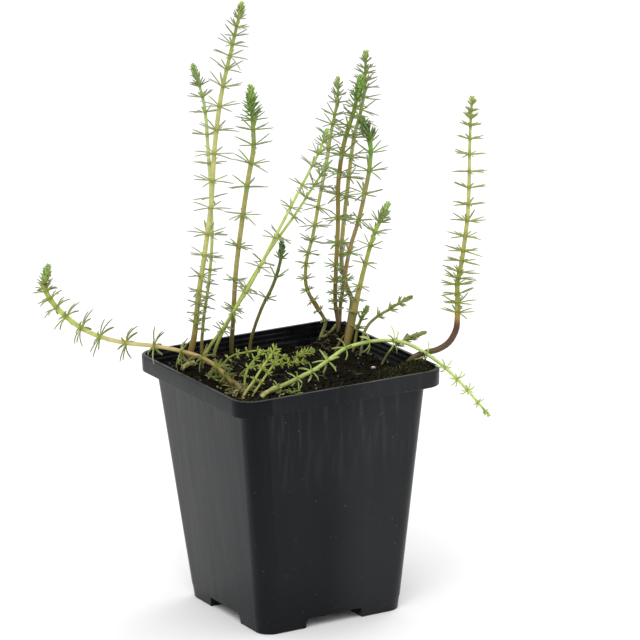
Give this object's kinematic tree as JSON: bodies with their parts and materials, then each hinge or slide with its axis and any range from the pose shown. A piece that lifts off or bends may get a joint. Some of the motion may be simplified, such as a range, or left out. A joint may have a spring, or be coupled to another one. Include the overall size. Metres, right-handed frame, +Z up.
{
  "type": "potted mares tail",
  "caption": "Square tapered nursery pot of dark soil with upright, arching and trailing mares tail stems that carry whorls of thin leaves.",
  "frame": {"origin": "middle of the pot's footprint on the surface that it stands on", "axes": "+Z up; +X and +Y along the sides of the square pot; the stem that trails over the rim leans to -X and +Y"},
  "size_m": [0.1531, 0.1369, 0.2398],
  "materials": {
    "pot_plastic": "satin black moulded plastic",
    "soil": "moist crumbly potting soil",
    "lime_stem": "fresh plant stem and leaves, satin",
    "ochre_stem": "fresh plant stem and leaves, satin",
    "brown_stem": "fresh plant stem and leaves, satin",
    "green_shoot": "fresh plant shoot and leaves, satin"
  },
  "bodies": {
    "root": {"pot": "pot_plastic", "soil": "soil", "stem_left_tall": "ochre_stem", "stem_left_outer": "lime_stem", "stem_left_inner": "ochre_stem", "stem_pale_front": "lime_stem", "stem_pale_back": "lime_stem", "stem_dark_tip": "brown_stem", "stem_winding": "ochre_stem", "stem_right_tall": "ochre_stem", "stem_right_brown": "brown_stem", "stem_right_dark": "brown_stem", "stem_right_thick": "ochre_stem", "stem_far_right": "brown_stem", "stem_arching": "lime_stem", "stem_trailing": "lime_stem", "shoot_bud": "green_shoot", "shoot_right": "green_shoot", "shoot_corner": "green_shoot", "shoot_front_a": "lime_stem", "shoot_front_b": "lime_stem", "shoot_front_c": "lime_stem", "shoot_thin_back": "lime_stem", "shoot_thin_middle": "lime_stem", "shoot_mat": "lime_stem"}
  },
  "joints": []
}
